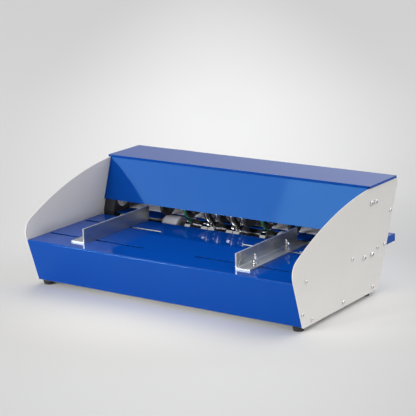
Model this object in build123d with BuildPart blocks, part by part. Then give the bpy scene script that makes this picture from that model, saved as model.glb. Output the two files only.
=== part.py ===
from build123d import *
import math
import os

# Desktop rotary perforator and creaser. X runs across the feed, Y from the operator to the
# outfeed, Z up. The origin is on the bench, under the middle of the machine. Sizes are in mm.

# ---------------------------------------------------------------- driving dimensions
width = 580.0  # over the two side plates
depth = 371.0  # side plate, nose to rear top corner
plate_height = 193.8  # side plate, bottom edge to crown
table_height = 84.4  # side plate bottom to table top
plate_t = 2.0
sheet_t = 1.5  # table, tray, rear cover and base pan
hood_t = 1.2  # hood front and lid
bend_r = 2.5  # outer radius of the sheet bends
rear_wall_inset = 5.0  # base pan's rear wall, in from the plates' rear bottom corner
side_gap = 0.3  # between a sheet's end and the side plate

foot_h, foot_d = 8.0, 22.0
foot_inset_x, foot_inset_front, foot_inset_rear = 16.0, 43.5, 99.5

nose_r, corner_r, plate_corner_r = 28.0, 8.0, 3.0
front_bottom_inset, rear_bottom_inset = 31.5, 73.5  # bottom corners, in from the nose and the rear
nose_reach, nose_rise = 5.2, 26.9  # unrounded nose corner, past the nose and above the table
crown_inset = 59.8  # crown, in from the rear corner
rear_drop, rear_reach = 2.9, 1.0  # unrounded rear corner, below the crown and past the rounded one

shaft_d = 15.0
roller_r = 23.0  # lower rollers and anvil rings
nip_rise = 5.1  # the nip stands above the table
roller_wall_gap, roller_table_gap = 4.0, 14.0  # lower rollers to the rear wall and the table
tray_rise = 3.0  # the outfeed tray stands above the table
nip_gap = 0.4  # paper thickness left between upper and lower wheels
fit = 0.02  # radial gap of a fixed fit
run = 0.05  # radial gap of a running fit

bearing_od, bearing_w = 35.0, 11.0
block_t, block_wall = 24.5, 3.5  # a wall of this thickness stays behind the bearings
block_front = 31.0  # reach in front of the axis
gear_teeth, pinion_teeth, gear_w = 23, 16, 14.0
addendum, dedendum, backlash = 0.85, 1.25, 0.16  # in modules, in modules, mm on a flank

guide_leg, guide_h, guide_t = 30.0, 28.0, 3.0
guide_front, guide_nip_gap = 33.5, 9.0  # guide ends, from the nose and from the rollers
left_guide_x, right_guide_x = -176.0, 155.0  # paper edges
slot_w, slot_end_gap = 6.5, 4.0
bolt_offset = 20.0  # bolt, from the paper edge
front_slot_inset, rear_slot_inset = 65.5, 57.5  # slots, from the nose and the table's rear edge
front_slot_reaches, rear_slot_reaches = (115.0, 105.6), (74.4, 80.4)  # inward of the paper edges

m6_r, m6_head_r, m6_head_h, m6_len = 3.0, 5.25, 3.3, 12.0
m4_r, m4_head_r, m4_head_h, m4_len = 2.0, 4.0, 2.2, 10.0

# ---------------------------------------------------------------- places worked out from them
half = width / 2
inner = half - plate_t  # inner faces of the side plates
sheet_half = inner - side_gap
plate_z = foot_h
table_z = plate_z + table_height
crown_z = plate_z + plate_height
front_y, rear_y = -depth / 2, depth / 2

nip_z = table_z + nip_rise
lower_z, upper_z = nip_z - roller_r, nip_z + roller_r
wheel_r = roller_r - nip_gap
pan_rear_y = rear_y - rear_bottom_inset - rear_wall_inset
shaft_y = pan_rear_y - roller_wall_gap - roller_r
shaft_r = shaft_d / 2

front_bottom = (front_y + front_bottom_inset, plate_z)
nose_corner = (front_y - nose_reach, table_z + nose_rise)
crown_point = (rear_y - crown_inset, crown_z)
rear_top = (rear_y + rear_reach, crown_z - rear_drop)
rear_bottom = (rear_y - rear_bottom_inset, plate_z)


def along(start, end, z):
    """Y of the straight line from start to end, both (y, z), at the height z."""
    share = (z - start[1]) / (end[1] - start[1])
    return start[0] + (end[0] - start[0]) * share


def front_edge_y(z):
    """Front edge of the side plates, which the apron follows."""
    return along(front_bottom, nose_corner, z)


def rear_edge_y(z):
    """Rear edge of the side plates, which the rear cover follows."""
    return along(rear_bottom, rear_top, z)


table_rear_y = shaft_y - roller_r - roller_table_gap
front_slot_y, rear_slot_y = front_y + front_slot_inset, table_rear_y - rear_slot_inset
table_flange = 14.0
tray_z = table_z + tray_rise
tray_front_y = shaft_y - 21.0
tray_rear_y = rear_y - 6.5
tray_flange = 14.4
block_rear = bearing_od / 2 + block_wall
flange_front_y = shaft_y + block_rear + 1.5  # the tray's side flanges start behind the blocks
notch_rear_y = shaft_y + 19.0
floor_top = plate_z + sheet_t

hood_bottom = (shaft_y - roller_r - 6.0, upper_z + 1.1)
lid_z = crown_z + 2.0  # underside of the lid
lid_front_y, lid_rear_y = shaft_y - 4.0, rear_y - 9.5
lid_lip = 4.5  # turned down in front and outside the side plates
lid_side_gap = 0.8  # between a side lip and the plate
hood_top = (lid_front_y + hood_t + 1.6, lid_z - 0.4)  # behind the lid's lip

cover_bottom_z = tray_z + 8.0
leaf_t, leaf_gap = 1.2, 1.0  # hinge leaves, one under the lid and one on the cover
cover_top_z = lid_z - 2 * leaf_t - leaf_gap
cover_lip_y = lid_rear_y - 18.0
edge_inset = 1.0  # the rear cover's face stands inside the plates' rear edge

pan_wall_z = tray_z - tray_flange - 1.8  # its flange clears the tray's side flanges
pan_flange = 14.0

block_x = inner - block_t  # inner face of a bearing block
block_bottom, block_top = lower_z - 22.5, upper_z + 21.5
pocket_floor = block_x + bearing_w
shaft_end = pocket_floor - 0.5
gear_x = block_x - 18.5  # left face of the gears
tie_y, tie_z = shaft_y + 12.0, upper_z + 51.0
tie_w, tie_t = 34.0, 12.0

# Screws that show on the side plates, as (y, z) on both plates.
tie_screws = [(shaft_y + 4.0, tie_z + 1.2), (shaft_y + 19.7, tie_z + 0.5)]
block_screws = [(shaft_y + 5.2, lower_z + 3.8), (shaft_y - 23.6, lower_z + 4.4)]
m6_places = tie_screws + block_screws
cover_screw = (rear_edge_y(crown_z - 57.0) - 10.0, crown_z - 57.0)
tray_screws = [(shaft_y + 53.4, tray_z - 9.0), (shaft_y + 26.5, tray_z - 9.7)]
table_screws = [(table_rear_y - 27.9, table_z - 5.8), (front_y + 42.1, table_z - 5.0)]
apron_screw = (front_edge_y(plate_z + 25.1) + 6.7, plate_z + 25.1)
pan_screws = [
    (front_y + 60.0, plate_z + 8.4),
    (shaft_y - 98.1, plate_z + 9.7),
    (shaft_y + 7.7, plate_z + 8.7),
]
m4_places = [cover_screw, apron_screw] + tray_screws + table_screws + pan_screws

# Controls on the left side plate, and the mains inlet on the rear wall.
switch_y, knob_y, control_z = front_y + 75.5, front_y + 123.5, plate_z + 47.0
inlet_x, inlet_z = -200.0, plate_z + 34.0

# The gear pair spans the two shafts. The motor lies on its bracket's foot, in front of the
# lower shaft, one gear centre distance away.
gear_module = 2 * roller_r / gear_teeth
gearbox_r, can_r, motor_shaft_r = 29.0, 26.0, 5.0
bracket_x, bracket_t = gear_x - 6.0, 3.0
gearbox_len, can_len = 40.0, 55.0
motor_z = floor_top + bracket_t + 0.5 + gearbox_r
centre_distance = gear_module * (gear_teeth + pinion_teeth) / 2
motor_y = shaft_y - math.sqrt(centre_distance**2 - (lower_z - motor_z) ** 2)

# Wheels along the shafts. A tool set is placed by its perforating blade.
feed_rollers = [-139.0, 119.0]
pinch_wheels = [-154.0, 134.0]
o_ring_wheels = [-99.0, 76.0]
single_anvils = [-96.0, 74.0]
blades = [-49.0, 8.0]
roller_w, single_anvil_w = 36.0, 12.0
blade_t, blade_teeth, blade_r = 1.0, 60, roller_r + 1.3
slit = 1.6  # between the two anvil rings that a blade runs in
anvil_w = 14.0
scoring_offset, scoring_t = 24.0, 3.0

os.makedirs("parts", exist_ok=True)


def save(piece, name):
    """Label a finished piece and write it as one STEP file."""
    piece.part.label = name
    export_step(piece.part, f"parts/{name}.step")


# ---------------------------------------------------------------- shared shapes
def sheet_section(points, thickness, side):
    """Section of a bent sheet whose outer face follows the points."""
    with BuildLine() as line:
        FilletPolyline(*points, radius=bend_r)
        offset(amount=thickness, side=side)
    make_face(line.edges())


def flat_section(points):
    """A straight-sided face through the points."""
    with BuildLine() as line:
        Polyline(*points, close=True)
    make_face(line.edges())


def across(x_from, x_to):
    """The YZ plane at x_from and the distance to x_to, for extruding a section across X."""
    return Plane.YZ.offset(x_from), x_to - x_from


def side_holes(places, radius):
    """Holes through both sides of the piece in hand, along X."""
    with BuildSketch(Plane.YZ.offset(-half)) as holes:
        with Locations(*places):
            Circle(radius)
    extrude(holes.sketch, amount=width, mode=Mode.SUBTRACT)


def side_flanges(points, thickness):
    """Flanges at both ends of the sheet in hand, against the side plates."""
    for x in (-sheet_half, sheet_half - thickness):
        plane, reach = across(x, x + thickness)
        with BuildSketch(plane) as flange:
            flat_section(points)
        extrude(flange.sketch, amount=reach)


def shaft_plane(z):
    """The upright plane through a shaft's axis: its x runs along the shaft, its y outward."""
    return Plane(origin=(0, shaft_y, z), x_dir=(1, 0, 0), z_dir=(0, -1, 0))


def turned(name, plane, outlines):
    """Turned pieces on one axis: each outline lists (x, radius) points, revolved about it."""
    with BuildPart() as piece:
        with BuildSketch(plane):
            for outline in outlines:
                flat_section(outline)
        revolve(axis=Axis(plane.origin, plane.x_dir))
    save(piece, name)


def ring(x_from, x_to, r_in, r_out, chamfer_size=0.0):
    """Outline of a plain ring with chamfered outer edges."""
    c = chamfer_size
    outer = [(x_to, r_out - c), (x_to - c, r_out), (x_from + c, r_out), (x_from, r_out - c)]
    corners = outer if c else [(x_to, r_out), (x_from, r_out)]
    return [(x_from, r_in), (x_to, r_in)] + corners


# ---------------------------------------------------------------- side plates
switch_cut_y, switch_cut_z = 13.4, 19.4
bushing_r = 3.5


def side_plate(name, x_from, cut_outs):
    """One side plate: sloping front, rounded nose, one long crowned edge, sloping back."""
    plane, reach = across(x_from, x_from + plate_t)
    with BuildPart() as plate:
        with BuildSketch(plane) as outline:
            with BuildLine():
                Polyline(rear_top, rear_bottom, front_bottom, nose_corner)
                ThreePointArc(nose_corner, crown_point, rear_top)
            make_face()
            fillet(outline.vertices().sort_by_distance(nose_corner)[0], nose_r)
            fillet(outline.vertices().sort_by_distance(rear_top)[0], corner_r)
            for corner in (front_bottom, rear_bottom):
                fillet(outline.vertices().sort_by_distance(corner)[0], plate_corner_r)
        extrude(amount=reach)
        side_holes(m6_places, m6_r + run)
        side_holes(m4_places, m4_r + run)
        if cut_outs:
            with BuildSketch(Plane.YZ.offset(-half)):
                with Locations((switch_y, control_z)):
                    Rectangle(switch_cut_y, switch_cut_z)
                with Locations((knob_y, control_z)):
                    Circle(bushing_r + run)
            extrude(amount=plate_t, mode=Mode.SUBTRACT)
    save(plate, name)


side_plate("left_side_plate", -half, cut_outs=True)
side_plate("right_side_plate", inner, cut_outs=False)


# ---------------------------------------------------------------- feed table and apron
apron_foot_y = front_edge_y(floor_top)
apron_return = 7.0  # the apron's bottom edge turns in and lies on the base pan
table_corner_y = front_edge_y(table_z)
left_slot_end, right_slot_end = slot_end_gap - inner, inner - slot_end_gap
slots = []
for y, reaches in ((front_slot_y, front_slot_reaches), (rear_slot_y, rear_slot_reaches)):
    slots.append((left_slot_end, left_guide_x + reaches[0], y))
    slots.append((right_guide_x - reaches[1], right_slot_end, y))
sheet_plane, sheet_width = across(-sheet_half, sheet_half)
with BuildPart() as table:
    with BuildSketch(sheet_plane):
        sheet_section(
            [
                (table_rear_y, table_z - 10.0),
                (table_rear_y, table_z),
                (table_corner_y, table_z),
                (apron_foot_y, floor_top),
                (apron_foot_y + apron_return, floor_top),
            ],
            sheet_t,
            Side.LEFT,
        )
    extrude(amount=sheet_width)
    flange_z = table_z - table_flange
    side_flanges(
        [
            (table_rear_y - 4.0, table_z - sheet_t / 2),
            (table_corner_y + 6.0, table_z - sheet_t / 2),
            (table_corner_y + 12.0, flange_z),
            (table_rear_y - 4.0, flange_z),
        ],
        sheet_t,
    )
    tab_low, tab_high = apron_screw[1] - 10.0, apron_screw[1] + 10.0
    side_flanges(
        [
            (front_edge_y(tab_low) + 1.0, tab_low),
            (front_edge_y(tab_low) + 17.0, tab_low),
            (front_edge_y(tab_high) + 17.0, tab_high),
            (front_edge_y(tab_high) + 1.0, tab_high),
        ],
        sheet_t,
    )
    side_holes(table_screws + [apron_screw], m4_r + run)
    with BuildSketch(Plane.XY.offset(table_z - sheet_t)):
        for x_from, x_to, y in slots:
            with Locations(((x_from + x_to) / 2, y)):
                SlotOverall(x_to - x_from, slot_w)
    extrude(amount=sheet_t, mode=Mode.SUBTRACT)
save(table, "feed_table")


# ---------------------------------------------------------------- outfeed tray
gear_notch_x = gear_x - 2.0
block_notch_x = block_x - 1.0
notches = [(-sheet_half, -block_notch_x), (gear_notch_x, sheet_half)]
notches += [(x - roller_w / 2 - 3.0, x + roller_w / 2 + 3.0) for x in feed_rollers]
notches += [(x - single_anvil_w / 2 - 3.0, x + single_anvil_w / 2 + 3.0) for x in single_anvils]
notches += [(x - slit / 2 - anvil_w - 3.0, x + slit / 2 + anvil_w + 3.0) for x in blades]
with BuildPart() as tray:
    with BuildSketch(sheet_plane):
        sheet_section(
            [(tray_front_y, tray_z), (tray_rear_y, tray_z), (tray_rear_y, tray_z - tray_flange)],
            sheet_t,
            Side.RIGHT,
        )
    extrude(amount=sheet_width)
    side_flanges(
        [
            (flange_front_y, tray_z - sheet_t / 2),
            (tray_rear_y - sheet_t / 2, tray_z - sheet_t / 2),
            (tray_rear_y - sheet_t / 2, tray_z - tray_flange),
            (flange_front_y, tray_z - tray_flange),
        ],
        sheet_t,
    )
    side_holes(tray_screws, m4_r + run)
    with BuildSketch(Plane.XY.offset(tray_z - sheet_t)):
        for index, (x_from, x_to) in enumerate(notches):
            back = flange_front_y - 0.5 if index < 2 else notch_rear_y
            with Locations(((x_from + x_to) / 2, (tray_front_y + back) / 2)):
                Rectangle(x_to - x_from, back - tray_front_y)
        with Locations(((feed_rollers[0] + feed_rollers[1]) / 2, tray_front_y + 14.0)):
            Rectangle(feed_rollers[1] - feed_rollers[0], 28.0)
    extrude(amount=sheet_t, mode=Mode.SUBTRACT)
save(tray, "outfeed_tray")


# ---------------------------------------------------------------- hood front, lid and rear cover
with BuildPart() as hood:
    with BuildSketch(sheet_plane):
        run_y, run_z = hood_top[0] - hood_bottom[0], hood_top[1] - hood_bottom[1]
        slant = math.hypot(run_y, run_z)
        step_y, step_z = hood_t * run_z / slant, -hood_t * run_y / slant
        flat_section(
            [
                hood_bottom,
                hood_top,
                (hood_top[0] + step_y, hood_top[1]),
                (hood_bottom[0] + step_y, hood_bottom[1] + step_z),
            ]
        )
    extrude(amount=sheet_width)
    ear_low, ear_high = block_top + 6.0, hood_top[1] - 4.0
    side_flanges(
        [
            (along(hood_bottom, hood_top, ear_low) + hood_t / 2, ear_low),
            (along(hood_bottom, hood_top, ear_low) + 28.0, ear_low + 8.0),
            (along(hood_bottom, hood_top, ear_high) + 20.0, ear_high),
            (along(hood_bottom, hood_top, ear_high) + hood_t / 2, ear_high),
        ],
        hood_t,
    )
    side_holes(tie_screws[:1], m6_r + run)
save(hood, "hood_front")

lid_top = lid_z + hood_t
lid_half = half + lid_side_gap + hood_t
lip_z = lid_top - lid_lip


def lid_section(low, high):
    """Section of the lid from front to back, between two heights."""
    flat_section([(lid_rear_y, high), (lid_front_y, high), (lid_front_y, low), (lid_rear_y, low)])


with BuildPart() as lid:
    with BuildSketch(Plane.YZ.offset(-lid_half)):
        lid_section(lid_z, lid_top)
    extrude(amount=2 * lid_half)
    # The front lip hangs between the side plates, the side lips outside them.
    with BuildSketch(Plane.XZ.offset(-lid_front_y - hood_t)):
        with Locations((0, (lip_z + lid_z) / 2)):
            Rectangle(2 * sheet_half, lid_z - lip_z)
    extrude(amount=hood_t)
    for x in (-lid_half, lid_half - hood_t):
        with BuildSketch(Plane.YZ.offset(x)):
            lid_section(lip_z, lid_z)
        extrude(amount=hood_t)
save(lid, "top_lid")

with BuildPart() as cover:
    with BuildSketch(sheet_plane):
        hem_y = rear_edge_y(cover_bottom_z) - edge_inset
        sheet_section(
            [
                (hem_y - 9.0, cover_bottom_z),
                (hem_y, cover_bottom_z),
                (rear_edge_y(cover_top_z) - edge_inset, cover_top_z),
                (cover_lip_y, cover_top_z),
            ],
            sheet_t,
            Side.LEFT,
        )
    extrude(amount=sheet_width)
    ear_low, ear_high = cover_screw[1] - 30.0, cover_screw[1] + 30.0
    side_flanges(
        [
            (rear_edge_y(ear_low) - edge_inset - sheet_t / 2, ear_low),
            (rear_edge_y(ear_high) - edge_inset - sheet_t / 2, ear_high),
            (rear_edge_y(ear_high) - 16.0, ear_high - 6.0),
            (rear_edge_y(ear_low) - 16.0, ear_low + 6.0),
        ],
        sheet_t,
    )
    side_holes([cover_screw], m4_r + run)
save(cover, "rear_cover")


# ---------------------------------------------------------------- lid hinges
hinge_xs = [-180.0, 180.0]
knuckle_r, pin_r, hinge_w, knuckle_gap = 2.2, 1.1, 40.0, 0.3
pivot = (lid_rear_y + 2.6, lid_z - 1.0)
middle_half = hinge_w / 6  # half the width of the moving knuckle
end_w = hinge_w / 3 - knuckle_gap


def hinge_leaf(leaf_bottom, knuckles, bore, sketch_plane):
    """A leaf with its knuckles: knuckles lists (middle, width) along X from the leaf's middle."""
    with BuildPart() as leaf:
        for x in hinge_xs:
            with Locations((x, (cover_lip_y + pivot[0] - 3.4) / 2, leaf_bottom + leaf_t / 2)):
                Box(hinge_w, pivot[0] - 3.4 - cover_lip_y, leaf_t)
            for middle, knuckle_w in knuckles:
                with Locations((x + middle, pivot[0] - 2.0, leaf_bottom + leaf_t / 2)):
                    Box(knuckle_w, 4.0, leaf_t)
                with BuildSketch(sketch_plane.offset(x + middle - knuckle_w / 2)):
                    with Locations(pivot):
                        Circle(knuckle_r)
                extrude(amount=knuckle_w)
                with BuildSketch(sketch_plane.offset(x + middle - knuckle_w / 2)):
                    with Locations(pivot):
                        Circle(pin_r + bore)
                extrude(amount=knuckle_w, mode=Mode.SUBTRACT)
    return leaf


end_middle = middle_half + knuckle_gap + end_w / 2
fixed_leaves = hinge_leaf(cover_top_z, [(-end_middle, end_w), (end_middle, end_w)], fit, Plane.YZ)
save(fixed_leaves, "lid_hinge_fixed_leaves")
moving_leaves = hinge_leaf(lid_z - leaf_t, [(0.0, 2 * middle_half)], run, Plane.YZ)
save(moving_leaves, "lid_hinge_moving_leaves")

with BuildPart() as hinge_pins:
    pin_half = middle_half + knuckle_gap + end_w
    for x in hinge_xs:
        with BuildSketch(Plane.YZ.offset(x - pin_half)):
            with Locations(pivot):
                Circle(pin_r)
        extrude(amount=2 * pin_half)
save(hinge_pins, "lid_hinge_pins")


# ---------------------------------------------------------------- base pan, feet and tie bar
feet = [
    (x, y)
    for x in (-half + foot_inset_x, half - foot_inset_x)
    for y in (front_y + foot_inset_front, rear_y - foot_inset_rear)
]
foot_screw_r, foot_head_r = 2.5, 4.6
vent_w, vent_h, vent_pitch, vent_count = 4.0, 30.0, 12.0, 6
inlet_cut_w, inlet_cut_h = 27.4, 20.0
with BuildPart() as pan:
    with BuildSketch(sheet_plane):
        sheet_section(
            [
                (front_bottom[0] + 4.0, plate_z),
                (pan_rear_y, plate_z),
                (pan_rear_y, pan_wall_z),
                (pan_rear_y + 10.0, pan_wall_z),
            ],
            sheet_t,
            Side.LEFT,
        )
    extrude(amount=sheet_width)
    side_flanges(
        [
            (apron_foot_y + 10.0, plate_z + sheet_t / 2),
            (pan_rear_y - 4.0, plate_z + sheet_t / 2),
            (pan_rear_y - 4.0, plate_z + pan_flange),
            (apron_foot_y + 22.0, plate_z + pan_flange),
        ],
        sheet_t,
    )
    side_holes(pan_screws, m4_r + run)
    with BuildSketch(Plane.XY.offset(plate_z)):
        with Locations(*feet):
            Circle(foot_screw_r + run)
    extrude(amount=sheet_t, mode=Mode.SUBTRACT)
    with BuildSketch(Plane.XZ.offset(-pan_rear_y)):
        with Locations((inlet_x, inlet_z)):
            Rectangle(inlet_cut_w, inlet_cut_h)
        with Locations((half - 95.0, inlet_z)):
            with GridLocations(vent_pitch, 0, vent_count, 1):
                SlotOverall(vent_h, vent_w, rotation=90)
    extrude(amount=sheet_t, mode=Mode.SUBTRACT)
save(pan, "base_pan")

with BuildPart() as rubber_feet:
    for x, y in feet:
        with BuildSketch(Plane(origin=(x, y, 0), x_dir=(1, 0, 0), z_dir=(0, -1, 0))):
            hole_r = foot_screw_r + run
            well_r = foot_head_r + 0.6
            flat_section(
                [
                    (hole_r, foot_h),
                    (foot_d / 2, foot_h),
                    (foot_d / 2 - 1.6, 0),
                    (well_r, 0),
                    (well_r, foot_h / 2),
                    (hole_r, foot_h / 2),
                ]
            )
        revolve(axis=Axis((x, y, 0), (0, 0, 1)))
save(rubber_feet, "rubber_feet")

with BuildPart() as foot_screws:
    for x, y in feet:
        with BuildSketch(Plane.XY.offset(foot_h / 2 - 2.6)):
            with Locations((x, y)):
                Circle(foot_head_r)
        extrude(amount=2.6)
        with BuildSketch(Plane.XY.offset(foot_h / 2)):
            with Locations((x, y)):
                Circle(foot_screw_r)
        extrude(amount=foot_h / 2 + sheet_t + 3.0)
save(foot_screws, "foot_screws")

tie_half = sheet_half - hood_t
with BuildPart() as tie_bar:
    with Locations((0, tie_y, tie_z)):
        Box(2 * tie_half, tie_w, tie_t)
    chamfer(tie_bar.edges().filter_by(Axis.X), 1.0)
    tie_hole = m6_len - plate_t
    for x in (-tie_half, tie_half - tie_hole):
        with BuildSketch(Plane.YZ.offset(x)):
            with Locations(*tie_screws):
                Circle(m6_r + run)
        extrude(amount=tie_hole, mode=Mode.SUBTRACT)
save(tie_bar, "tie_bar")


# ---------------------------------------------------------------- bearing blocks and bearings
def bearing_block(name, side):
    """The block that carries both shafts at one side plate: side is -1 for left, 1 for right."""
    face_plane = Plane(origin=(side * inner, 0, 0), x_dir=(0, 1, 0), z_dir=(side, 0, 0))
    low, high = shaft_y - block_front, shaft_y + block_rear
    flip = 1 if side > 0 else -1  # the left block's plane has Z pointing down
    outline = [
        (low, block_bottom),
        (high, block_bottom),
        (high, block_top),
        (shaft_y - 12.0, block_top),
        (shaft_y - 22.5, upper_z + 5.0),
        (low, lower_z + 24.0),
    ]
    with BuildPart() as block:
        with BuildSketch(face_plane) as face:
            flat_section([(y, flip * z) for y, z in outline])
            fillet(face.vertices(), 3.0)
        extrude(amount=-block_t)
        for z in (lower_z, upper_z):
            with BuildSketch(face_plane.offset(-block_t)):
                with Locations((shaft_y, flip * z)):
                    Circle(bearing_od / 2 + fit)
            extrude(amount=bearing_w, mode=Mode.SUBTRACT)
            with BuildSketch(face_plane.offset(bearing_w - block_t)):
                with Locations((shaft_y, flip * z)):
                    Circle(11.0)
            extrude(amount=2.0, mode=Mode.SUBTRACT)
        with BuildSketch(face_plane):
            with Locations(*[(y, flip * z) for y, z in block_screws]):
                Circle(m6_r + run)
        extrude(amount=-(m6_len - plate_t + 0.5), mode=Mode.SUBTRACT)
    save(block, name)


bearing_block("left_bearing_block", -1)
bearing_block("right_bearing_block", 1)


def bearing_outline(closed_x, open_x):
    """Section of a ball bearing whose shield, on the open side of its pocket, is set back."""
    shield_x = open_x + math.copysign(0.6, closed_x - open_x)
    race, od_r = 3.2, bearing_od / 2
    return [
        (closed_x, shaft_r + fit),
        (open_x, shaft_r + fit),
        (open_x, shaft_r + race),
        (shield_x, shaft_r + race),
        (shield_x, od_r - race),
        (open_x, od_r - race),
        (open_x, od_r),
        (closed_x, od_r),
    ]


for name, z in (("lower_bearings", lower_z), ("upper_bearings", upper_z)):
    sections = [bearing_outline(-pocket_floor, -block_x), bearing_outline(pocket_floor, block_x)]
    turned(name, shaft_plane(z), sections)


# ---------------------------------------------------------------- shafts, gears and drive
def shaft_outline():
    """A plain shaft with chamfered ends."""
    return [
        (-shaft_end, 0),
        (shaft_end, 0),
        (shaft_end, shaft_r - 1.0),
        (shaft_end - 1.0, shaft_r),
        (-shaft_end + 1.0, shaft_r),
        (-shaft_end, shaft_r - 1.0),
    ]


turned("lower_shaft", shaft_plane(lower_z), [shaft_outline()])
turned("upper_shaft", shaft_plane(upper_z), [shaft_outline()])


def polar(radius, angle):
    """The point at a radius and an angle in radians."""
    return (radius * math.cos(angle), radius * math.sin(angle))


def involute(angle):
    return math.tan(angle) - angle


def gear(name, teeth, place, tooth_angle, bore_r):
    """A spur gear with involute flanks and one tooth centred at tooth_angle degrees."""
    pitch_r = gear_module * teeth / 2
    pressure = math.radians(20)
    base_r = pitch_r * math.cos(pressure)
    tip_r = pitch_r + addendum * gear_module
    root_r = pitch_r - dedendum * gear_module

    def half_angle(radius):
        """Half of a tooth's width at a radius, as an angle."""
        at_pitch = math.pi / (2 * teeth) - backlash / (2 * pitch_r)
        return at_pitch + involute(pressure) - involute(math.acos(base_r / radius))

    middle_r = (base_r + tip_r) / 2
    root, base, middle, tip = (
        polar(radius, half_angle(max(radius, base_r))) for radius in (root_r - 0.4, base_r, middle_r, tip_r)
    )

    def mirrored(point):
        return (point[0], -point[1])

    with BuildSketch() as tooth:
        with BuildLine():
            Line(root, base)
            ThreePointArc(base, middle, tip)
            Line(tip, mirrored(tip))
            ThreePointArc(mirrored(tip), mirrored(middle), mirrored(base))
            Line(mirrored(base), mirrored(root))
            Line(mirrored(root), root)
        make_face()
    with BuildPart() as wheel:
        with BuildSketch(Plane(origin=(gear_x, *place), x_dir=(0, 1, 0), z_dir=(1, 0, 0))):
            Circle(root_r)
            with PolarLocations(0, teeth, start_angle=tooth_angle):
                add(tooth.sketch)
        extrude(amount=gear_w)
        with BuildSketch(Plane.YZ.offset(gear_x)):
            with Locations(place):
                Circle(bore_r)
        extrude(amount=gear_w, mode=Mode.SUBTRACT)
    save(wheel, name)


# The lower gear has a tooth pointing straight up, into a gap of the upper gear.
tooth_pitch = 360 / gear_teeth
gear("lower_gear", gear_teeth, (shaft_y, lower_z), 90.0, shaft_r + fit)
gear("upper_gear", gear_teeth, (shaft_y, upper_z), -90.0 + tooth_pitch / 2, shaft_r + fit)
to_pinion = math.degrees(math.atan2(motor_z - lower_z, motor_y - shaft_y))
past_tooth = (to_pinion - 90.0) % tooth_pitch
pinion_gap = to_pinion + 180.0 + past_tooth * gear_teeth / pinion_teeth
pinion_tooth = pinion_gap + 180.0 / pinion_teeth
gear("drive_pinion", pinion_teeth, (motor_y, motor_z), pinion_tooth, motor_shaft_r + fit)

motor_plane = Plane(origin=(0, motor_y, motor_z), x_dir=(1, 0, 0), z_dir=(0, -1, 0))
boss_r, boss_len = 10.0, bracket_t + 1.5
gearbox_from = bracket_x - gearbox_len
turned(
    "gearbox",
    motor_plane,
    [
        [
            (gearbox_from, 0),
            (bracket_x - 8.0, 0),
            (bracket_x - 8.0, motor_shaft_r + run),
            (bracket_x + boss_len, motor_shaft_r + run),
            (bracket_x + boss_len, boss_r),
            (bracket_x, boss_r),
            (bracket_x, gearbox_r),
            (gearbox_from + 14.0, gearbox_r),
            (gearbox_from + 14.0, gearbox_r - 1.0),
            (gearbox_from, gearbox_r - 1.0),
        ]
    ],
)
turned(
    "motor_can",
    motor_plane,
    [
        [
            (gearbox_from - can_len, 0),
            (gearbox_from, 0),
            (gearbox_from, can_r),
            (gearbox_from - can_len + 3.0, can_r),
            (gearbox_from - can_len + 3.0, can_r - 2.0),
            (gearbox_from - can_len, can_r - 2.0),
        ]
    ],
)
turned("motor_shaft", motor_plane, [ring(bracket_x - 7.5, gear_x + gear_w + 1.0, 0, motor_shaft_r, 0.5)])

with BuildPart() as motor_bracket:
    with BuildSketch(Plane.YZ.offset(bracket_x)):
        plate_h = motor_z + gearbox_r + 1.0 - floor_top
        with Locations((motor_y, floor_top + plate_h / 2)):
            Rectangle(2 * gearbox_r + 2.0, plate_h)
        with Locations((motor_y, motor_z)):
            Circle(boss_r + 0.2, mode=Mode.SUBTRACT)
        with Locations((shaft_y, lower_z)):
            Circle(shaft_r + 7.0, mode=Mode.SUBTRACT)
    extrude(amount=bracket_t)
    with Locations((bracket_x - 14.0, motor_y, floor_top + bracket_t / 2)):
        Box(34.0, 2 * gearbox_r + 2.0, bracket_t)
save(motor_bracket, "motor_bracket")


# ---------------------------------------------------------------- wheels on the lower shaft
hub_r = 14.0
lower = shaft_plane(lower_z)
turned(
    "feed_roller_hubs",
    lower,
    [ring(x - roller_w / 2 - 1.0, x + roller_w / 2 + 1.0, shaft_r + fit, hub_r, 0.8) for x in feed_rollers],
)
turned(
    "feed_roller_tyres",
    lower,
    [ring(x - roller_w / 2, x + roller_w / 2, hub_r + fit, roller_r, 1.5) for x in feed_rollers],
)
anvil_spans = [(x - single_anvil_w / 2, x + single_anvil_w / 2) for x in single_anvils]
for x in blades:
    anvil_spans += [(x - slit / 2 - anvil_w, x - slit / 2), (x + slit / 2, x + slit / 2 + anvil_w)]
set_screw_r = 2.5
with BuildPart() as anvils:
    with BuildSketch(lower):
        for x_from, x_to in anvil_spans:
            flat_section(ring(x_from, x_to, shaft_r + fit, roller_r))
    revolve(axis=Axis(lower.origin, lower.x_dir))
    # Each ring is held by a set screw from below.
    with BuildSketch(Plane.XY.offset(lower_z)):
        with Locations(*[((x_from + x_to) / 2, shaft_y) for x_from, x_to in anvil_spans]):
            Circle(set_screw_r + run)
    extrude(amount=-roller_r, mode=Mode.SUBTRACT)
save(anvils, "anvil_rings")

with BuildPart() as set_screws:
    with BuildSketch(Plane.XY.offset(lower_z - shaft_r - 0.1)):
        with Locations(*[((x_from + x_to) / 2, shaft_y) for x_from, x_to in anvil_spans]):
            Circle(set_screw_r)
    extrude(amount=-8.0)
save(set_screws, "anvil_set_screws")


# ---------------------------------------------------------------- wheels on the upper shaft
upper = shaft_plane(upper_z)
pinch_core_r = 19.5


def pinch_core(x):
    """A thin wheel on a wider hub."""
    return [
        (x - 4.0, shaft_r + fit),
        (x + 10.0, shaft_r + fit),
        (x + 10.0, 13.0),
        (x + 4.0, 13.0),
        (x + 4.0, pinch_core_r),
        (x - 4.0, pinch_core_r),
    ]


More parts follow.
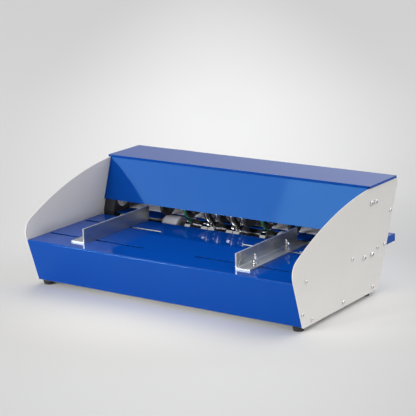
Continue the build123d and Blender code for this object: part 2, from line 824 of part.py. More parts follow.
turned("pinch_wheels", upper, [pinch_core(x) for x in pinch_wheels])
turned(
    "pinch_wheel_tyres",
    upper,
    [ring(x - 4.0, x + 4.0, pinch_core_r + fit, wheel_r, 1.0) for x in pinch_wheels],
)

o_ring_r = 2.3  # the rubber's section is drawn as an octagon
o_ring_line_r = wheel_r - o_ring_r  # circle through the middle of the rubber
o_ring_places = [(x, o_ring_line_r) for x in o_ring_wheels]
upper_axis = Axis(upper.origin, upper.x_dir)
with BuildPart() as o_rings:
    with BuildSketch(upper):
        with Locations(*o_ring_places):
            RegularPolygon(o_ring_r, 8, major_radius=False, rotation=22.5)
    revolve(axis=upper_axis)
save(o_rings, "green_o_rings")

with BuildPart() as grooved_wheels:
    with BuildSketch(upper):
        for x in o_ring_wheels:
            lip = o_ring_r + 1.7
            flat_section(ring(x - lip, x + lip, shaft_r + fit, o_ring_line_r + 0.6))
            flat_section(ring(x + lip, x + 16.0, shaft_r + fit, 13.0))
        with Locations(*o_ring_places):
            RegularPolygon(o_ring_r + fit, 8, major_radius=False, rotation=22.5, mode=Mode.SUBTRACT)
    revolve(axis=upper_axis)
save(grooved_wheels, "o_ring_wheels")

chrome_hub_r = 15.0
stripper_r = wheel_r - 0.2
blade_half = blade_t / 2
scoring_from, scoring_to = scoring_offset - scoring_t / 2, scoring_offset + scoring_t / 2
hub_spans = [(-17.0, -11.0), (6.0, 11.0)]
stripper_spans = [(-11.0, -blade_half), (blade_half, 6.0), (11.0, scoring_from), (scoring_to, 32.0)]
turned(
    "tool_hubs",
    upper,
    [ring(x + a, x + b, shaft_r + fit, chrome_hub_r) for x in blades for a, b in hub_spans],
)
turned(
    "stripper_rings",
    upper,
    [ring(x + a, x + b, shaft_r + fit, stripper_r) for x in blades for a, b in stripper_spans],
)
turned(
    "scoring_wheels",
    upper,
    [ring(x + scoring_from, x + scoring_to, shaft_r + fit, wheel_r + 0.6, 1.0) for x in blades],
)

tooth_depth = 1.1
# Square-topped cutting teeth with V gullets between them.
half_root = math.pi / blade_teeth * 0.92
tooth_root = polar(blade_r - tooth_depth - 0.2, half_root)
tooth_tip = polar(blade_r, half_root * 0.45)
with BuildSketch() as cutting_tooth:
    flat_section([tooth_root, tooth_tip, (tooth_tip[0], -tooth_tip[1]), (tooth_root[0], -tooth_root[1])])
with BuildPart() as perforating_blades:
    for x in blades:
        blade_plane = Plane(origin=(x - blade_half, shaft_y, upper_z), x_dir=(0, 1, 0), z_dir=(1, 0, 0))
        with BuildSketch(blade_plane):
            Circle(blade_r - tooth_depth)
            with PolarLocations(0, blade_teeth):
                add(cutting_tooth.sketch)
            Circle(shaft_r + fit, mode=Mode.SUBTRACT)
        extrude(amount=blade_t)
save(perforating_blades, "perforating_blades")


# ---------------------------------------------------------------- side guides and their wing nuts
guide_from_y, guide_to_y = front_y + guide_front, shaft_y - roller_r - guide_nip_gap
washer_t, washer_r = 1.2, 6.0
bolt_top = table_z + guide_t + washer_t + 13.0
bolt_ys = [front_slot_y, rear_slot_y]


def side_guide(name, paper_x, outward):
    """An aluminium angle: its wall guides the paper, its flange lies outward on the table."""
    wall_x, flange_x = paper_x + outward * guide_t, paper_x + outward * guide_leg
    with BuildPart() as guide:
        with BuildSketch(Plane.XZ.offset(-guide_to_y)) as section:
            flat_section(
                [
                    (paper_x, table_z),
                    (flange_x, table_z),
                    (flange_x, table_z + guide_t),
                    (wall_x, table_z + guide_t),
                    (wall_x, table_z + guide_h),
                    (paper_x, table_z + guide_h),
                ]
            )
            fillet(section.vertices().sort_by_distance((wall_x, table_z + guide_t))[0], 1.0)
        extrude(amount=guide_to_y - guide_from_y)
        with BuildSketch(Plane.XY.offset(table_z)):
            with Locations(*[(paper_x + outward * bolt_offset, y) for y in bolt_ys]):
                Circle(m6_r + run)
        extrude(amount=guide_t, mode=Mode.SUBTRACT)
    save(guide, name)


def guide_bolts(name, bolt_x):
    """Carriage bolts: domed head under the table, square neck in the slot, thread upward."""
    neck = 6.0
    with BuildPart() as bolts:
        for y in bolt_ys:
            underside = table_z - sheet_t
            with BuildSketch(Plane(origin=(bolt_x, y, underside), x_dir=(1, 0, 0), z_dir=(0, -1, 0))):
                flat_section([(0, 0), (6.5, 0), (4.5, -2.4), (0, -3.2)])
            revolve(axis=Axis((bolt_x, y, underside), (0, 0, 1)))
            with Locations((bolt_x, y, underside + sheet_t / 2)):
                Box(neck, neck, sheet_t)
            with BuildSketch(Plane.XY.offset(table_z)):
                with Locations((bolt_x, y)):
                    Circle(m6_r)
            extrude(amount=bolt_top - table_z)
    save(bolts, name)


def washers(name, bolt_x):
    with BuildPart() as pair:
        with BuildSketch(Plane.XY.offset(table_z + guide_t)):
            with Locations(*[(bolt_x, y) for y in bolt_ys]):
                Circle(washer_r)
                Circle(m6_r + run, mode=Mode.SUBTRACT)
        extrude(amount=washer_t)
    save(pair, name)


def wing_nut(name, bolt_x, bolt_y, turn):
    """A wing nut: tapered hub with two rounded wings, turned by some degrees about its bolt."""
    seat = table_z + guide_t + washer_t
    c, s = math.cos(math.radians(turn)), math.sin(math.radians(turn))
    plane = Plane(origin=(bolt_x, bolt_y, seat), x_dir=(c, s, 0), z_dir=(s, -c, 0))
    wing_t = 2.4
    wing_outer = [(3.6, 1.2), (6.0, 1.6), (12.6, 8.6), (13.6, 14.0)]
    wing_inner = [(11.0, 16.0), (8.4, 13.6), (4.6, 7.6), (3.6, 7.4)]
    with BuildPart() as nut:
        with BuildSketch(plane):
            flat_section([(m6_r + run, 0), (5.6, 0), (5.6, 2.0), (4.7, 8.0), (m6_r + run, 8.0)])
        revolve(axis=Axis(plane.origin, (0, 0, 1)))
        for mirror_x in (1, -1):
            with BuildSketch(plane) as wing_face:
                flat_section([(mirror_x * x, z) for x, z in wing_outer + wing_inner])
                fillet([v for v in wing_face.vertices() if v.Y > 13.8], 1.6)
            extrude(amount=wing_t / 2, both=True)
        with BuildSketch(Plane.XY.offset(seat)):
            with Locations((bolt_x, bolt_y)):
                Circle(m6_r + run)
        extrude(amount=16.0, mode=Mode.SUBTRACT)
    save(nut, name)


nut_turns = {"left_front": 118.0, "left_rear": 131.0, "right_front": 122.0, "right_rear": 128.0}
for side_name, paper_x, outward in (("left", left_guide_x, -1), ("right", right_guide_x, 1)):
    bolt_x = paper_x + outward * bolt_offset
    side_guide(f"{side_name}_guide", paper_x, outward)
    guide_bolts(f"{side_name}_guide_bolts", bolt_x)
    washers(f"{side_name}_guide_washers", bolt_x)
    for end_name, bolt_y in (("front", front_slot_y), ("rear", rear_slot_y)):
        place_name = f"{side_name}_{end_name}"
        wing_nut(f"{place_name}_wing_nut", bolt_x, bolt_y, nut_turns[place_name])


# ---------------------------------------------------------------- screws on the side plates
def plate_screws(name, places, shank_r, head_r, head_h, length):
    """Screws through both side plates, drawn as turned pieces with a plain conical head."""
    head = [(head_h, 0), (head_h, 0.55 * head_r), (0, head_r)]
    shank = [(0, shank_r), (-length, shank_r), (-length, 0)]
    with BuildPart() as screws:
        for side in (-1, 1):
            for y, z in places:
                seat = Plane(origin=(side * half, y, z), x_dir=(side, 0, 0), z_dir=(0, -1, 0))
                with BuildSketch(seat):
                    flat_section(head + shank)
                revolve(axis=Axis(seat.origin, seat.x_dir))
    save(screws, name)


plate_screws("m6_screws", m6_places, m6_r, m6_head_r, m6_head_h, m6_len)
plate_screws("m4_screws", m4_places, m4_r, m4_head_r, m4_head_h, m4_len)


# ---------------------------------------------------------------- controls on the left side plate
# Both are drawn on planes that stand on the plate's outer face and point outward, to -X.
bezel_t, rocker_tilt = 2.0, 12.0
throat_y, throat_z = 12.0, 17.4
switch_plane = Plane(origin=(-half, switch_y, control_z), x_dir=(0, -1, 0), z_dir=(-1, 0, 0))
with BuildPart() as bezel:
    with BuildSketch(switch_plane):
        RectangleRounded(throat_y + 3.4, throat_z + 4.0, 1.5)
    extrude(amount=bezel_t)
    with BuildSketch(switch_plane):
        Rectangle(switch_cut_y - 0.2, switch_cut_z - 0.2)
    extrude(amount=-17.0)
    with BuildSketch(switch_plane.offset(bezel_t)):
        Rectangle(throat_y, throat_z)
    extrude(amount=-(bezel_t + 7.0), mode=Mode.SUBTRACT)
save(bezel, "switch_bezel")

rocker_pivot_depth = 4.0  # inside the plate's outer face
tilt = math.radians(rocker_tilt)


def tilted(u, v):
    """A point of the rocker, u outward and v upward from its pivot, as drawn when off."""
    return (
        -half + rocker_pivot_depth - (u * math.cos(tilt) - v * math.sin(tilt)),
        control_z + u * math.sin(tilt) + v * math.cos(tilt),
    )


with BuildPart() as rocker:
    with BuildSketch(Plane.XZ.offset(-switch_y - (throat_y - 0.8) / 2)):
        upper_half = [(-2.0, 3.0), (0.4, 7.4), (6.7, 6.9)]
        lower_half = [(6.7, -6.9), (0.4, -7.4), (-2.0, -3.0)]
        flat_section([tilted(u, v) for u, v in upper_half + [(5.0, 0)] + lower_half])
    extrude(amount=throat_y - 0.8)
save(rocker, "power_rocker")

knob_plane = Plane(origin=(-half, knob_y, control_z), x_dir=(0, -1, 0), z_dir=(-1, 0, 0))
knob_r, knob_h, pot_shaft_r = 11.0, 8.6, 3.0
with BuildPart() as knob:
    with BuildSketch(knob_plane.offset(0.4)):
        Circle(knob_r)
        with PolarLocations(knob_r + 0.5, 12):
            Circle(1.4, mode=Mode.SUBTRACT)
    extrude(amount=knob_h - 0.4)
    # A pointer groove on the face, and the well that clears the nut and the shaft.
    with BuildSketch(knob_plane.offset(knob_h)):
        with Locations((0, knob_r / 2)):
            Rectangle(1.2, knob_r - 2.0)
    extrude(amount=-0.6, mode=Mode.SUBTRACT)
    with BuildSketch(knob_plane.offset(0.4)):
        Circle(6.6)
    extrude(amount=2.6, mode=Mode.SUBTRACT)
    with BuildSketch(knob_plane.offset(0.4)):
        Circle(pot_shaft_r + fit)
    extrude(amount=knob_h - 2.4, mode=Mode.SUBTRACT)
save(knob, "speed_knob")

with BuildPart() as pot:
    with BuildSketch(knob_plane.offset(-plate_t)):
        Circle(8.5)
    extrude(amount=-8.0)
    with BuildSketch(knob_plane.offset(-plate_t)):
        Circle(bushing_r)
    extrude(amount=plate_t + 2.4)
    with BuildSketch(knob_plane):
        RegularPolygon(5.6, 6)
    extrude(amount=2.0)
    with BuildSketch(knob_plane.offset(2.4)):
        Circle(pot_shaft_r + run)
    extrude(amount=-10.0, mode=Mode.SUBTRACT)
save(pot, "potentiometer")

with BuildPart() as pot_shaft:
    with BuildSketch(knob_plane.offset(-7.4)):
        Circle(pot_shaft_r)
    extrude(amount=7.4 + knob_h - 2.2)
save(pot_shaft, "potentiometer_shaft")


# ---------------------------------------------------------------- mains inlet and speed board
# Drawn on the rear wall's outer face, with the sketch's x running to -X and its y up.
inlet_plane = Plane(origin=(inlet_x, pan_rear_y, inlet_z), x_dir=(-1, 0, 0), z_dir=(0, 1, 0))
inlet_depth, inlet_rim = 16.0, 2.5
with BuildPart() as inlet:
    with BuildSketch(inlet_plane):
        RectangleRounded(31.0, 24.0, 2.0)
    extrude(amount=inlet_rim)
    with BuildSketch(inlet_plane):
        Rectangle(inlet_cut_w - 0.2, inlet_cut_h - 0.2)
    extrude(amount=-18.0)
    with BuildSketch(inlet_plane.offset(inlet_rim)) as mouth:
        Rectangle(24.2, 16.4)
        chamfer(mouth.vertices().group_by(Axis.Y)[-1], 4.5)
    extrude(amount=-inlet_depth, mode=Mode.SUBTRACT)
    with BuildSketch(inlet_plane.offset(inlet_rim - inlet_depth)):
        with Locations((-7.0, -2.0), (7.0, -2.0), (0, 2.5)):
            Rectangle(2.0, 4.0)
    extrude(amount=12.0)
save(inlet, "power_inlet")

board_x, board_y, board_w, board_l, board_z = -90.0, front_y + 150.0, 100.0, 80.0, floor_top + 10.0
with BuildPart() as board:
    with Locations((board_x, board_y, board_z + 0.8)):
        Box(board_w, board_l, 1.6)
    board_top = board_z + 1.6
    # Transformer, finned heat sink, terminal block and two capacitors.
    with Locations((board_x - 28.0, board_y + 18.0, board_top + 12.0)):
        Box(34.0, 30.0, 24.0)
    with Locations((board_x + 24.0, board_y + 24.0, board_top + 13.0)):
        Box(30.0, 3.0, 26.0)
        with GridLocations(6.0, 0, 5, 1):
            Box(1.6, 14.0, 26.0)
    with Locations((board_x - 20.0, board_y - 33.0, board_top + 5.0)):
        Box(42.0, 9.0, 10.0)
    with BuildSketch(Plane.XY.offset(board_top)):
        with Locations((board_x + 22.0, board_y - 14.0), (board_x + 38.0, board_y - 14.0)):
            Circle(6.0)
    extrude(amount=20.0)
save(board, "speed_board")

with BuildPart() as standoffs:
    with BuildSketch(Plane.XY.offset(floor_top)):
        with Locations((board_x, board_y)):
            with GridLocations(board_w - 10.0, board_l - 10.0, 2, 2):
                RegularPolygon(3.2, 6)
    extrude(amount=board_z - floor_top)
save(standoffs, "board_standoffs")
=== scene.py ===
import math

import bmesh
import bpy
from mathutils import Matrix, Vector


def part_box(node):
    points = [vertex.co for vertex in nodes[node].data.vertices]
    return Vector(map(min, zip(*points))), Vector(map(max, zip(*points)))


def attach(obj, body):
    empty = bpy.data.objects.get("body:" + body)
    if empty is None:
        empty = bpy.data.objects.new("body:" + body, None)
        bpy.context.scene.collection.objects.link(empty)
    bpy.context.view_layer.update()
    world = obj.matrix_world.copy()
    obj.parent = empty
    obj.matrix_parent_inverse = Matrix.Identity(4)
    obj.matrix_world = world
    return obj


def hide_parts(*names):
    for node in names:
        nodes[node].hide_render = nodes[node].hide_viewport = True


# Looks of a desktop rotary perforator and creaser. Metres, in the frame of the CAD model:
# X across the feed, Y from the operator to the outfeed, Z up, origin on the bench.
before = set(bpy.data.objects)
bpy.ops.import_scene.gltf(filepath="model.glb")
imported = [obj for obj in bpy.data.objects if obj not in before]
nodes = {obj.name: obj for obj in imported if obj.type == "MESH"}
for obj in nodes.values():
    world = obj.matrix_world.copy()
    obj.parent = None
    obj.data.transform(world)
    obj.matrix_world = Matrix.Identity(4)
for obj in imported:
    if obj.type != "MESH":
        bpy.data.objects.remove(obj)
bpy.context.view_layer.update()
MM = 0.001


# ---------------------------------------------------------------- camera
CAMERA_PLACE = (1.5467, -2.2337, 0.8313)
CAMERA_AZIMUTH, CAMERA_ELEVATION = math.radians(34.768), math.radians(14.121)
CAMERA_ROLL = math.radians(-1.543)
CAMERA_LENS, CAMERA_SENSOR = 132.021, 36.0  # mm


def add_camera():
    """The photograph's camera: in front, to the right and a little above."""
    data = bpy.data.cameras.new("camera")
    data.sensor_width = CAMERA_SENSOR
    data.lens = CAMERA_LENS
    camera = bpy.data.objects.new("camera", data)
    bpy.context.scene.collection.objects.link(camera)
    flat = math.cos(CAMERA_ELEVATION)
    back = Vector((
        math.sin(CAMERA_AZIMUTH) * flat,
        -math.cos(CAMERA_AZIMUTH) * flat,
        math.sin(CAMERA_ELEVATION),
    ))
    right = Vector((math.cos(CAMERA_AZIMUTH), math.sin(CAMERA_AZIMUTH), 0.0))
    up = back.cross(right)
    turn = Matrix((right, up, back)).transposed().to_4x4()
    roll = Matrix.Rotation(CAMERA_ROLL, 4, "Z")
    camera.matrix_world = Matrix.Translation(CAMERA_PLACE) @ turn @ roll
    bpy.context.scene.camera = camera


# ---------------------------------------------------------------- node helpers
COLOUR_SPAN, ROUGHNESS_SPAN = (0.35, 0.65), (0.3, 0.7)  # parts of the noise that are used
BEVEL_SAMPLES = 4


def set_range(node, low_in, high_in, low, high):
    """Set the two ranges of a Map Range node."""
    labels = ("From Min", "From Max", "To Min", "To Max")
    for label, value in zip(labels, (low_in, high_in, low, high)):
        node.inputs[label].default_value = value


class Shader:
    """A material around one Principled shader, with short calls for its procedural parts."""

    def __init__(self, name, colour, **sockets):
        self.material = bpy.data.materials.new(name)
        self.material.use_nodes = True
        self.tree = self.material.node_tree
        self.main = self.tree.nodes["Principled BSDF"]
        self.main.inputs["Base Color"].default_value = (*colour, 1.0)
        for socket, value in sockets.items():
            label = socket.replace("_", " ").title().replace("Ior", "IOR")
            self.main.inputs[label].default_value = value
        self.normal = None

    def node(self, kind, **sockets):
        made = self.tree.nodes.new(kind)
        for socket, value in sockets.items():
            made.inputs[socket.replace("_", " ")].default_value = value
        return made

    def link(self, source, target):
        self.tree.links.new(source, target)

    def noise(self, scale, stretch=(1, 1, 1), detail=2.0):
        """Noise in the piece's own coordinates. scale is in features per metre."""
        place = self.node("ShaderNodeTexCoord")
        mapping = self.node("ShaderNodeMapping", Scale=stretch)
        texture = self.node("ShaderNodeTexNoise", Scale=scale, Detail=detail)
        self.link(place.outputs["Object"], mapping.inputs["Vector"])
        self.link(mapping.outputs["Vector"], texture.inputs["Vector"])
        return texture.outputs["Fac"]

    def vary_colour(self, low, high, **noise):
        """Base colour that drifts between two close tones."""
        ramp = self.node("ShaderNodeValToRGB")
        for stop, place, colour in zip(ramp.color_ramp.elements, COLOUR_SPAN, (low, high)):
            stop.position, stop.color = place, (*colour, 1.0)
        self.link(self.noise(**noise), ramp.inputs["Fac"])
        self.link(ramp.outputs["Color"], self.main.inputs["Base Color"])
        return self

    def vary_roughness(self, low, high, **noise):
        """Roughness that drifts between two values."""
        spread = self.node("ShaderNodeMapRange")
        set_range(spread, *ROUGHNESS_SPAN, low, high)
        self.link(self.noise(**noise), spread.inputs["Value"])
        self.link(spread.outputs["Result"], self.main.inputs["Roughness"])
        return self

    def soften_edges(self, radius):
        """Round the look of sharp edges, as a coat or a tumbled part has them."""
        bevel = self.node("ShaderNodeBevel", Radius=radius)
        bevel.samples = BEVEL_SAMPLES
        self.normal = bevel.outputs["Normal"]
        self.link(self.normal, self.main.inputs["Normal"])
        return self

    def bump(self, height, **noise):
        """Relief of the given height in metres."""
        relief = self.node("ShaderNodeBump", Strength=1.0, Distance=height)
        self.link(self.noise(**noise), relief.inputs["Height"])
        if self.normal:
            self.link(self.normal, relief.inputs["Normal"])
        self.normal = relief.outputs["Normal"]
        self.link(self.normal, self.main.inputs["Normal"])
        return self


ALONG_Y = (1, 0.02, 1)  # stretches noise into lines along Y
ROUND_X = (1, 0.02, 0.02)  # rings round a shaft that runs along X
BLUE_GLOSS = (0.22, 0.65, 1.0, 1.0)  # the blue coat's reflection seen straight on


def make_materials():
    """One finish for each material slot of the record."""
    made = {}
    made["side_plate_paint"] = (
        Shader(
            "side_plate_paint", (0.68, 0.665, 0.645), roughness=0.45, specular_ior_level=0.25
        )
        .vary_colour((0.67, 0.655, 0.635), (0.69, 0.675, 0.655), scale=9.0)
        .vary_roughness(0.36, 0.5, scale=40.0)
        .soften_edges(0.5 * MM)
        .bump(0.006 * MM, scale=900.0)
    )
    made["blue_paint"] = (
        Shader(
            "blue_paint", (0.0, 0.055, 0.34),
            roughness=0.05, specular_ior_level=0.35, specular_tint=BLUE_GLOSS,
        )
        .vary_colour((0.0, 0.053, 0.33), (0.0, 0.057, 0.35), scale=7.0)
        .vary_roughness(0.035, 0.08, scale=25.0)
        .soften_edges(0.5 * MM)
    )
    made["galvanised_steel"] = (
        Shader("galvanised_steel", (0.5, 0.51, 0.52), metallic=1.0, roughness=0.4)
        .vary_colour((0.42, 0.43, 0.45), (0.6, 0.61, 0.62), scale=120.0, detail=4.0)
        .vary_roughness(0.3, 0.5, scale=90.0)
        .soften_edges(0.3 * MM)
    )
    made["steel"] = (
        Shader("steel", (0.5, 0.5, 0.51), metallic=1.0, roughness=0.3)
        .vary_colour((0.44, 0.44, 0.45), (0.56, 0.56, 0.57), scale=700.0, stretch=ROUND_X)
        .vary_roughness(0.2, 0.4, scale=900.0, stretch=ROUND_X)
        .soften_edges(0.3 * MM)
    )
    made["plated_steel"] = (
        Shader("plated_steel", (0.72, 0.72, 0.73), metallic=1.0, roughness=0.22)
        .vary_colour((0.66, 0.66, 0.67), (0.78, 0.78, 0.79), scale=200.0)
        .vary_roughness(0.15, 0.3, scale=300.0)
        .soften_edges(0.25 * MM)
    )
    made["chrome"] = (
        Shader("chrome", (0.85, 0.85, 0.86), metallic=1.0, roughness=0.1)
        .vary_colour((0.82, 0.82, 0.83), (0.88, 0.88, 0.89), scale=60.0)
        .vary_roughness(0.05, 0.16, scale=900.0, stretch=ROUND_X)
        .soften_edges(0.3 * MM)
    )
    made["aluminium"] = (
        Shader("aluminium", (0.5, 0.52, 0.53), metallic=1.0, roughness=0.35)
        .vary_colour((0.46, 0.48, 0.49), (0.54, 0.56, 0.57), scale=1500.0, stretch=ALONG_Y)
        .vary_roughness(0.28, 0.45, scale=1200.0, stretch=ALONG_Y)
        .soften_edges(0.3 * MM)
        .bump(0.003 * MM, scale=1500.0, stretch=ALONG_Y)
    )
    made["black_rubber"] = (
        Shader("black_rubber", (0.02, 0.02, 0.021), roughness=0.6)
        .vary_colour((0.016, 0.016, 0.017), (0.028, 0.028, 0.028), scale=300.0)
        .vary_roughness(0.5, 0.75, scale=200.0)
        .soften_edges(0.4 * MM)
    )
    made["grey_rubber"] = (
        Shader("grey_rubber", (0.58, 0.58, 0.65), roughness=0.6)
        .vary_colour((0.54, 0.54, 0.61), (0.62, 0.62, 0.69), scale=400.0)
        .vary_roughness(0.5, 0.75, scale=300.0)
        .soften_edges(0.5 * MM)
        .bump(0.01 * MM, scale=1800.0)
    )
    made["green_rubber"] = (
        Shader("green_rubber", (0.012, 0.2, 0.07), roughness=0.4)
        .vary_colour((0.01, 0.17, 0.06), (0.016, 0.24, 0.085), scale=250.0)
        .vary_roughness(0.3, 0.5, scale=300.0)
    )
    made["black_plastic"] = (
        Shader("black_plastic", (0.02, 0.02, 0.021), roughness=0.45)
        .vary_colour((0.018, 0.018, 0.019), (0.026, 0.026, 0.027), scale=200.0)
        .vary_roughness(0.38, 0.52, scale=500.0)
        .soften_edges(0.3 * MM)
        .bump(0.008 * MM, scale=2500.0)
    )
    made["circuit_board"] = (
        Shader("circuit_board", (0.01, 0.12, 0.04), roughness=0.35)
        .vary_colour((0.008, 0.1, 0.035), (0.014, 0.15, 0.05), scale=150.0, detail=4.0)
        .vary_roughness(0.25, 0.5, scale=200.0)
    )
    # Finishes of single pieces.
    made["satin_chrome"] = (
        Shader("satin_chrome", (0.93, 0.93, 0.94), metallic=1.0, roughness=0.38)
        .vary_colour((0.9, 0.9, 0.91), (0.96, 0.96, 0.97), scale=60.0)
        .vary_roughness(0.33, 0.43, scale=900.0, stretch=ROUND_X)
    )
    # Black anodising, with painted shade: the dark tone also stands for the shade under the hood.
    made["black_anodised_and_shade"] = (
        Shader("black_anodised_and_shade", (0.022, 0.022, 0.026), roughness=0.4)
        .vary_colour((0.02, 0.02, 0.023), (0.027, 0.027, 0.031), scale=90.0)
        .vary_roughness(0.34, 0.48, scale=300.0)
        .soften_edges(0.5 * MM)
    )
    # A pale matt coat that paints the highlight along the rear slots' edges.
    made["painted_highlight_edge"] = (
        Shader("painted_highlight_edge", (0.86, 0.86, 0.84), roughness=0.5)
        .vary_colour((0.8, 0.8, 0.79), (0.9, 0.9, 0.88), scale=300.0)
    )
    return {slot: shader.material for slot, shader in made.items()}


# Nodes whose finish differs from that of their material slot.
OWN_FINISH = {
    # The bearing blocks' black is partly their coat and partly painted shade from under the hood.
    "left_bearing_block": "black_anodised_and_shade",
    "right_bearing_block": "black_anodised_and_shade",
    "tool_hubs": "satin_chrome",
    "scoring_wheels": "satin_chrome",
    "perforating_blades": "satin_chrome",
}


def dress_nodes(materials):
    """Give every CAD node the finish of its own material slot."""
    for name, node in nodes.items():
        for slot in node.material_slots:
            key = slot.material.name.split(".")[0]
            if key not in materials:
                raise ValueError(f"node {name} has the unknown finish {slot.material.name}")
            slot.material = materials[OWN_FINISH.get(name, key)]


# ---------------------------------------------------------------- detailed pieces
def loose_boxes(name):
    """Lowest and highest corner of each loose part of a CAD node.

    Their order differs from run to run, and with it the turn of each button screw's socket.
    """
    shape = bmesh.new()
    shape.from_mesh(nodes[name].data)
    bmesh.ops.remove_doubles(shape, verts=shape.verts, dist=1e-6)
    waiting, boxes = set(shape.verts), []
    while waiting:
        front = [waiting.pop()]
        found = list(front)
        while front:
            for edge in front.pop().link_edges:
                for vertex in edge.verts:
                    if vertex in waiting:
                        waiting.discard(vertex)
                        front.append(vertex)
                        found.append(vertex)
        places = [vertex.co for vertex in found]
        low = Vector([min(place[axis] for place in places) for axis in range(3)])
        high = Vector([max(place[axis] for place in places) for axis in range(3)])
        boxes.append((low, high))
    shape.free()
    return boxes


class Piece:
    """A piece made of lofted skins, which stands for CAD nodes and rides on their body."""

    def __init__(self, name):
        self.name = name
        self.shape = bmesh.new()

    def loft(self, rings, caps=True, closed=False):
        """Skin over rings of points, each ring a loop with as many points as the others."""
        loops = [[self.shape.verts.new(point) for point in ring] for ring in rings]
        pairs = list(zip(loops, loops[1:]))
        if closed:
            pairs.append((loops[-1], loops[0]))
        for lower, upper in pairs:
            for index in range(len(lower)):
                beside = (index + 1) % len(lower)
                self.shape.faces.new((lower[index], lower[beside], upper[beside], upper[index]))
        if caps and not closed:
            self.shape.faces.new(list(reversed(loops[0])))
            self.shape.faces.new(loops[-1])

    def finish(self, body, finish, materials, *replaced, sharp=35.0, look=None):
        """Make the object, shaded smooth between its sharp edges.

        It takes the material of its finish, or the one that look names.
        """
        bmesh.ops.recalc_face_normals(self.shape, faces=self.shape.faces)
        mesh = bpy.data.meshes.new(self.name)
        self.shape.to_mesh(mesh)
        self.shape.free()
        mesh.shade_smooth()
        mesh.set_sharp_from_angle(angle=math.radians(sharp))
        mesh.materials.append(materials[look or finish])
        piece = bpy.data.objects.new(self.name, mesh)
        bpy.context.scene.collection.objects.link(piece)
        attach(piece, body)
        if replaced:
            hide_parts(*replaced)
        return piece


def ring_points(centre, axis, across, radius_at, count):
    """A loop round an axis: radius_at gives the radius for each angle from across."""
    beside = axis.cross(across)
    points = []
    for index in range(count):
        angle = math.tau * index / count
        out = math.cos(angle) * across + math.sin(angle) * beside
        points.append(centre + radius_at(angle) * out)
    return points


def round_ring(centre, axis, across, radius, count=48):
    return ring_points(centre, axis, across, lambda angle: radius, count)


def hexagon(flat_radius):
    """Radius of a hexagon at an angle, from the distance to its flats."""
    half = math.pi / 6  # half the angle of one side
    return lambda angle: flat_radius / math.cos((angle + half) % (2 * half) - half)


X, Y, Z = Vector((1, 0, 0)), Vector((0, 1, 0)), Vector((0, 0, 1))
SHEET = 1.5 * MM  # thickness of the table and the tray

DOME_STEPS, DOME_TURN = 8, math.radians(68)  # rings of a button head's dome, and its arc
DOME_END = 0.375  # cosine of that turn, rounded


def button_screws(materials, name, node, shank_r, head_r, head_h, socket_r, turn):
    """Button head screws with hexagon sockets in place of the CAD node's plain ones."""
    piece = Piece(name)
    for number, (low, high) in enumerate(loose_boxes(node)):
        side = 1 if low.x > 0 else -1
        outward, middle = X * side, (low + high) / 2
        tip, top = (low.x, high.x) if side > 0 else (high.x, low.x)
        seat = top - side * head_h
        angle = turn * number
        across = math.cos(angle) * Y + math.sin(angle) * Z

        def at(x, radius_at):
            return ring_points(Vector((x, middle.y, middle.z)), outward, across, radius_at, 48)

        profile = [(tip, shank_r - 0.6 * MM), (tip + side * 0.6 * MM, shank_r), (seat, shank_r)]
        profile += [(seat, head_r - 0.1 * MM), (seat + side * 0.08 * head_h, head_r)]
        for step in range(1, DOME_STEPS + 1):
            turned = step / DOME_STEPS * DOME_TURN
            drop = 1 - math.sin(turned) / math.sin(DOME_TURN)
            share = (math.cos(turned) - DOME_END) / (1 - DOME_END)
            profile.append((top - side * 0.92 * head_h * drop, head_r * (0.5 + 0.5 * share)))
        rings = [at(x, lambda angle, r=radius: r) for x, radius in profile]
        rings.append(at(top, hexagon(socket_r + 0.12 * MM)))
        rings.append(at(top - side * 0.15 * MM, hexagon(socket_r)))
        rings.append(at(top - side * 0.6 * head_h, hexagon(socket_r)))
        rings.append(at(top - side * 0.72 * head_h, lambda angle: 0.2 * socket_r))
        piece.loft(rings)
    piece.finish("chassis", "plated_steel", materials, node, sharp=28.0)


def round_o_rings(materials):
    """Round rubber rings in place of the CAD model's eight-sided ones."""
    piece = Piece("round_o_rings")
    count = 128
    for low, high in loose_boxes("green_o_rings"):
        middle = (low + high) / 2
        outer, section = (high.y - low.y) / 2, (high.x - low.x) / 2
        sides = []
        for index in range(count):
            angle = math.tau * index / count
            out = math.cos(angle) * Y + math.sin(angle) * Z
            centre = middle + (outer - section) * out
            sides.append(round_ring(centre, out.cross(X), out, section, 20))
        piece.loft(sides, closed=True)
    piece.finish("upper_roller", "green_rubber", materials, "green_o_rings", sharp=80.0)


# Outline (up, radius) of a wing nut's hub, and its wings' stations (out, up, width, thickness)
# from root to tip, in mm.
NUT_HUB = [
    (0, 3.2), (0, 5.3), (0.3, 5.6), (1.6, 5.6), (2.2, 5.3),
    (7.4, 4.7), (8.0, 4.3), (8.0, 3.3), (7.5, 3.05), (0.5, 3.05),
]
NUT_WING = [
    (3.2, 3.4, 6.2, 4.4),
    (5.0, 4.6, 6.6, 4.2),
    (6.8, 6.4, 7.2, 4.0),
    (8.4, 8.6, 8.0, 4.0),
    (9.6, 10.8, 8.2, 4.0),
    (10.4, 12.8, 7.4, 3.8),
    (10.9, 14.4, 5.4, 3.2),
    (11.2, 15.3, 2.4, 1.8),
]


def squared(share):
    """Push a sine or cosine outward, so that the loop it draws is a little square."""
    return math.copysign(abs(share) ** 0.7, share)


